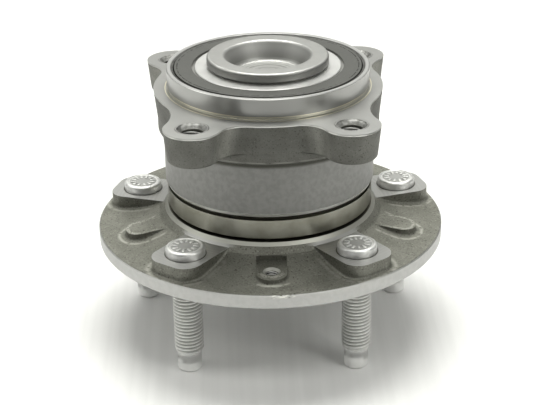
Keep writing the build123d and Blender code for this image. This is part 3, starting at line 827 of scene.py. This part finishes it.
# %% Magnetised rubber
dark_rubber = (0.052, 0.053, 0.048, 1)
pale_rubber = (0.072, 0.073, 0.066, 1)
encoder_finish, tree, shader = new_finish("magnet_rubber")
spot = spot_in_mm(tree)
radius = radius_of(tree, spot)
speck = grain(tree, spot, 0.35, 2.0)
rubber_colour = blend(tree, grain(tree, spot, 6.0, 3.0), dark_rubber, pale_rubber)
rubber_colour = blend(tree, ramp(tree, speck, 0.6, 0.75), rubber_colour, grey(0.17))
ragged_r = calc(tree, "MULTIPLY_ADD", grain(tree, spot, 1.6, 3.0), 0.8, radius)
broken = ramp(tree, grain(tree, spot, 2.5, 3.0), 0.42, 0.5)
gap_shadow_line = times(tree, band(tree, ragged_r, encoder_r - 0.9, encoder_r - 0.6, 0.1), broken)
# The ragged line is near black: painted shadow.
feed(tree, shader.inputs["Base Color"], blend(tree, gap_shadow_line, rubber_colour, grey(0.012, olive=0.002)))
feed(tree, shader.inputs["Roughness"], between(tree, gap_shadow_line, between(tree, speck, 0.30, 0.42), 0.9))
shader.inputs["Specular IOR Level"].default_value = 0.8
emboss(tree, shader, calc(tree, "MULTIPLY_ADD", gap_shadow_line, -0.25, times(tree, speck, 0.02)))
dress(encoder_finish, "encoder_ring")
print("encoder finish with", len(tree.nodes), "nodes")

# %% Lip rubber and cage nylon
lip_colours = (grey(0.018, olive=0.001), grey(0.035, olive=0.002))
lip_finish = cloudy_finish("soft_lip_rubber", 0.0, 1.0, lip_colours, (0.5, 0.65))
dress(lip_finish, "inboard_seal_lip", "outboard_seal_lip")
cage_colours = ((0.62, 0.59, 0.49, 1), (0.72, 0.69, 0.58, 1))
cage_finish = cloudy_finish("cage_nylon", 0.0, 0.5, cage_colours, (0.4, 0.55), stretch=(1, 1, 4))
dress(cage_finish, "cage_inboard", "cage_outboard")
print("made", lip_finish.name, "and", cage_finish.name)

# %% [markdown]
# ## The wheel studs
# A wheel stud is rolled, not cut: its thread is a true helix that fades into a tapered lead and a plain
# nose. Stacked rings would look like a thread from the side, but not at its ends. So one tooth is drawn by
# extruding a vertex, and a Screw modifier winds it up. A lathe-spun envelope then trims it with a Boolean,
# so that the last turns run out on the taper. Nose, shank and head are spun from two more profiles. One
# stud is modelled and copied five times.

# %% Tools for spun pieces
WELD = 1e-6


def draw_profile(name, points):
    """A new object: a line through (radius, height) points in millimetres, left in edit mode."""
    deselect_all()
    bpy.ops.mesh.primitive_plane_add(size=MM)
    piece = bpy.context.object
    piece.name = name
    bpy.ops.object.mode_set(mode="EDIT")
    bpy.ops.mesh.select_mode(type="VERT")
    bpy.ops.mesh.merge(type="CENTER")
    spots = [Vector((r * MM, 0, z * MM)) for r, z in points]
    bpy.ops.transform.translate(value=spots[0])
    for start, end in zip(spots, spots[1:]):
        bpy.ops.mesh.extrude_vertices_move(TRANSFORM_OT_translate={"value": end - start})
    return piece


def spin_profile(name, points, steps=64):
    """A solid of revolution about Z from a profile that starts and ends on the axis."""
    piece = draw_profile(name, points)
    bpy.ops.mesh.select_all(action="SELECT")
    bpy.ops.mesh.spin(steps=steps, angle=FULL_TURN, center=(0, 0, 0), axis=(0, 0, 1))
    bpy.ops.mesh.select_all(action="SELECT")
    bpy.ops.mesh.remove_doubles(threshold=WELD)
    bpy.ops.mesh.normals_make_consistent(inside=False)
    bpy.ops.object.mode_set(mode="OBJECT")
    return piece


print("tools for spun pieces ready")


# %% Tools for wound pieces
def apply_modifier(piece, kind, **settings):
    """Adds a modifier with these settings and applies it."""
    deselect_all()
    piece.select_set(True)
    bpy.context.view_layer.objects.active = piece
    step = piece.modifiers.new(kind.lower(), kind)
    for name, value in settings.items():
        setattr(step, name, value)
    bpy.ops.object.modifier_apply(modifier=step.name)


def wind(piece, lead, turns, steps):
    """Winds a profile up Z, by lead millimetres a turn, and closes its ends; left in edit mode."""
    apply_modifier(
        piece, "SCREW", axis="Z", angle=FULL_TURN, steps=steps, render_steps=steps, screw_offset=lead * MM,
        iterations=turns, use_merge_vertices=True, merge_threshold=WELD,
    )
    bpy.ops.object.mode_set(mode="EDIT")
    bpy.ops.mesh.select_all(action="SELECT")
    bpy.ops.mesh.remove_doubles(threshold=WELD)
    bpy.ops.mesh.fill_holes(sides=0)


print("tools for wound pieces ready")

# %% Wind the thread
pitch = 1.5
crest_r = 5.94
root_r = 5.10
thread_top_z = 3.0
thread_turns = 26
tooth_z = thread_top_z - thread_turns * pitch
tooth = [
    (root_r, tooth_z),
    (root_r, tooth_z + 0.28),
    (crest_r, tooth_z + 0.75),
    (crest_r, tooth_z + 1.03),
    (root_r, tooth_z + pitch),
]
rod = draw_profile("stud_rod", tooth)
bpy.ops.object.mode_set(mode="OBJECT")
wind(rod, pitch, thread_turns, steps=40)
bpy.ops.mesh.select_mode(type="FACE")
bpy.ops.mesh.select_all(action="DESELECT")
bpy.ops.mesh.select_face_by_sides(number=6, type="GREATER")
bpy.ops.mesh.poke()
bpy.ops.mesh.select_all(action="SELECT")
bpy.ops.mesh.normals_make_consistent(inside=False)
bpy.ops.object.mode_set(mode="OBJECT")
print("thread rod has", len(rod.data.polygons), "faces")

# %% Trim the thread to its lead and nose
nose_r = 4.85
trim_r = 6.05
core_r = 5.05
rod_top_z = 2.0
nose_outline = [(0, tip_z), (3.95, tip_z), (nose_r, tip_z + 0.9), (nose_r, tip_z + 7.8)]
trim_outline = [(trim_r, tip_z + 10.15), (trim_r, rod_top_z), (0, rod_top_z)]
core_outline = [(core_r, tip_z + 8.2), (core_r, rod_top_z), (0, rod_top_z)]
envelope = spin_profile("stud_envelope", nose_outline + trim_outline)
apply_modifier(rod, "BOOLEAN", operation="INTERSECT", solver="EXACT", object=envelope)
bpy.data.objects.remove(envelope)
nose = spin_profile("stud_nose", nose_outline + core_outline)
lowest = min(vertex.co.z for vertex in rod.data.vertices) / MM
print("trimmed rod has", len(rod.data.polygons), "faces, lowest at", round(lowest, 2))

# %% Spin the head and shank
shank_r = 6.4
shank_low_z = 1.5
head_low_z = head_top_z - 3.4
head_dip = 0.2
head_round = [(0.0, 1.1), (0.1, 0.65), (0.4, 0.25), (0.85, 0.05), (1.2, 0.0), (1.3, 0.0), (1.5, head_dip)]
shank_outline = [(0, shank_low_z), (shank_r, shank_low_z), (shank_r, head_low_z), (head_r, head_low_z)]
head_outline = [(head_r - inset, head_top_z - drop) for inset, drop in head_round]
head = spin_profile("stud_head", shank_outline + head_outline + [(0, head_top_z - head_dip)])
print("head has", len(head.data.polygons), "faces")

# %% [markdown]
# Stud heads carry raised grade marks. Plain radial dashes are used here. Text could be raised from the
# head, but it would say something, and dashes don't. Each is a small block with its edges bevelled, turned
# into place in a ring of twelve.

# %% Raise the grade dashes
dash_count = 12
dash_size = (2.4, 0.9, 0.4)
dash_circle_r = 4.2
dash_z = head_top_z - 0.1
dashes = []
for number in range(dash_count):
    deselect_all()
    bpy.ops.mesh.primitive_cube_add(size=1)
    dash = bpy.context.object
    turn = number * FULL_TURN / dash_count
    dash.scale = [side * MM for side in dash_size]
    dash.rotation_euler = (0, 0, turn)
    dash.location = (dash_circle_r * MM * cos(turn), dash_circle_r * MM * sin(turn), dash_z * MM)
    bpy.ops.object.transform_apply(location=True, rotation=True, scale=True)
    apply_modifier(dash, "BEVEL", width=0.1 * MM, segments=2, limit_method="ANGLE")
    dashes.append(dash)
print(len(dashes), "dashes raised")

# %% Join the stud
crease_angle = radians(35)
deselect_all()
for piece in [rod, nose, head, *dashes]:
    piece.select_set(True)
bpy.context.view_layer.objects.active = rod
bpy.ops.object.join()
stud_model = bpy.context.object
bpy.ops.object.shade_smooth_by_angle(angle=crease_angle)
print("stud model has", len(stud_model.data.polygons), "faces")

# %% [markdown]
# The studs are plated, so they are the brightest steel on the part. The thread's valleys and the head's
# face between the dashes are darker. The plain nose is brightest, lightened as painted light against the
# shade it stands in. The fold into one fifth of a turn gives the distance from the nearest stud's axis, so
# one material serves all five.

# %% Zones of the studs
stud_finish, tree, shader = new_finish("plated_stud", metal=1.0)
spot = spot_in_mm(tree)
x, y, height = axes_of(tree, spot)
radius = radius_of(tree, spot)
along, across = fold_fifth(tree, x, y, radius, stud_turn)
from_axis = distance(tree, minus(tree, along, stud_circle_r), across)
thread_low_z = -30.0
thread_end_z = 1.0
marks_r = 5.7
marks_low_z = 9.0
dull = grain(tree, spot, 2.5, 3.0)
fine = grain(tree, spot, 0.5, 2.0)
threaded = band(tree, height, thread_low_z, thread_end_z, 0.5)
in_valley = times(tree, ramp(tree, from_axis, crest_r - 0.19, root_r + 0.05), threaded)
low_ground = ramp(tree, height, head_top_z - 0.08, head_top_z - 0.18)
on_head = ramp(tree, height, marks_low_z, marks_low_z + 1.0)
on_ground = times(tree, low_ground, ramp(tree, from_axis, marks_r + 0.2, marks_r), on_head)
on_nose = ramp(tree, height, tip_z + 8.4, tip_z + 7.6)
print("stud zones take", len(tree.nodes), "nodes")

# %% Colour and gloss of the studs
plate_colour = blend(tree, ramp(tree, dull, 0.3, 0.7), grey(0.76), grey(0.88))
plate_colour = blend(tree, in_valley, plate_colour, grey(0.46, olive=0.02))
plate_colour = blend(tree, on_ground, plate_colour, grey(0.52))
# The nose is lightened: painted light.
plate_colour = blend(tree, on_nose, plate_colour, grey(0.94))
feed(tree, shader.inputs["Base Color"], plate_colour)
on_shank = ramp(tree, height, 1.0, 0.0)
plate_rough = calc(tree, "MULTIPLY_ADD", on_shank, 0.14, between(tree, dull, 0.42, 0.54))
feed(tree, shader.inputs["Roughness"], plate_rough)
emboss(tree, shader, times(tree, fine, 0.025))
print("stud finish with", len(tree.nodes), "nodes")

# %% Set the five studs
stud_model.data.materials.clear()
stud_model.data.materials.append(stud_finish)
for number, place in enumerate(stud_spots, 1):
    stud = stud_model.copy()
    stud.data = stud_model.data.copy()
    stud.name = f"threaded_stud_{number}"
    bpy.context.scene.collection.objects.link(stud)
    deselect_all()
    stud.select_set(True)
    bpy.context.view_layer.objects.active = stud
    stud.rotation_euler = (0, 0, stud_turn + (number - 1) * stud_step)
    stud.location = (place.x, place.y, 0)
    bpy.ops.object.transform_apply(location=True, rotation=True, scale=True)
    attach(stud, "hub")
    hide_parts(f"wheel_stud_{number}")
bpy.data.objects.remove(stud_model)
print(len(stud_spots), "studs set")

# %% [markdown]
# ## Threads in the tapped holes
# The four ears and the small boss hold tapped holes, and their bores are plain in the CAD. A bump could
# hint at a thread, but it would look flat at the hole's mouth. So each bore gets a helical ridge: a small
# trapezium is drawn and wound up, with its back sunk in the wall and its crest a little proud of it. The
# turns stand a little apart, so the ridge is one closed bar.

# %% Tapped thread steel
tap_finish = cloudy_finish("tapped_thread_steel", 1.0, 1.5, (grey(0.30), grey(0.44)), (0.30, 0.42))
print("made", tap_finish.name)


# %% Wind the ridges
def tapped_ridge(name, place, bore_r, crest, lead, bottom_z, body):
    """A helical ridge of six turns that lines a drilled bore at a place in mm and moves with a body."""
    sunk = 0.1
    outline = [(sunk, 0.1), (-crest, 0.4), (-crest, 0.6), (sunk, 0.9), (sunk, 0.1)]
    ridge = draw_profile(name, [(bore_r + out, bottom_z + share * lead) for out, share in outline])
    bpy.ops.mesh.select_all(action="SELECT")
    bpy.ops.mesh.remove_doubles(threshold=WELD)
    bpy.ops.object.mode_set(mode="OBJECT")
    wind(ridge, lead, turns=6, steps=32)
    bpy.ops.mesh.normals_make_consistent(inside=False)
    bpy.ops.object.mode_set(mode="OBJECT")
    ridge.location = (place[0] * MM, place[1] * MM, 0)
    bpy.ops.object.transform_apply(location=True, rotation=True, scale=True)
    bpy.ops.object.shade_smooth_by_angle(angle=crease_angle)
    ridge.data.materials.clear()
    ridge.data.materials.append(tap_finish)
    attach(ridge, body)
    print(name, "has", len(ridge.data.polygons), "faces")


front_ears = [(-front_ear_x, front_ear_y), (front_ear_x, front_ear_y)]
back_ears = [(-back_ear_x, back_ear_y), (back_ear_x, back_ear_y)]
for number, place in enumerate(front_ears + back_ears, 1):
    tapped_ridge(
        f"ear_thread_{number}", place, ear_bore_r, crest=0.28, lead=1.5, bottom_z=53.0,
        body="outer_ring",
    )
rib_turns = [rib_turn + number * stud_step for number in range(stud_count)]
screw_turn = min(rib_turns, key=sin)
screw_spot = (screw_circle_r * cos(screw_turn), screw_circle_r * sin(screw_turn))
tapped_ridge(
    "rotor_screw_thread", screw_spot, screw_bore_r, crest=0.2, lead=1.0, bottom_z=1.0,
    body="hub",
)
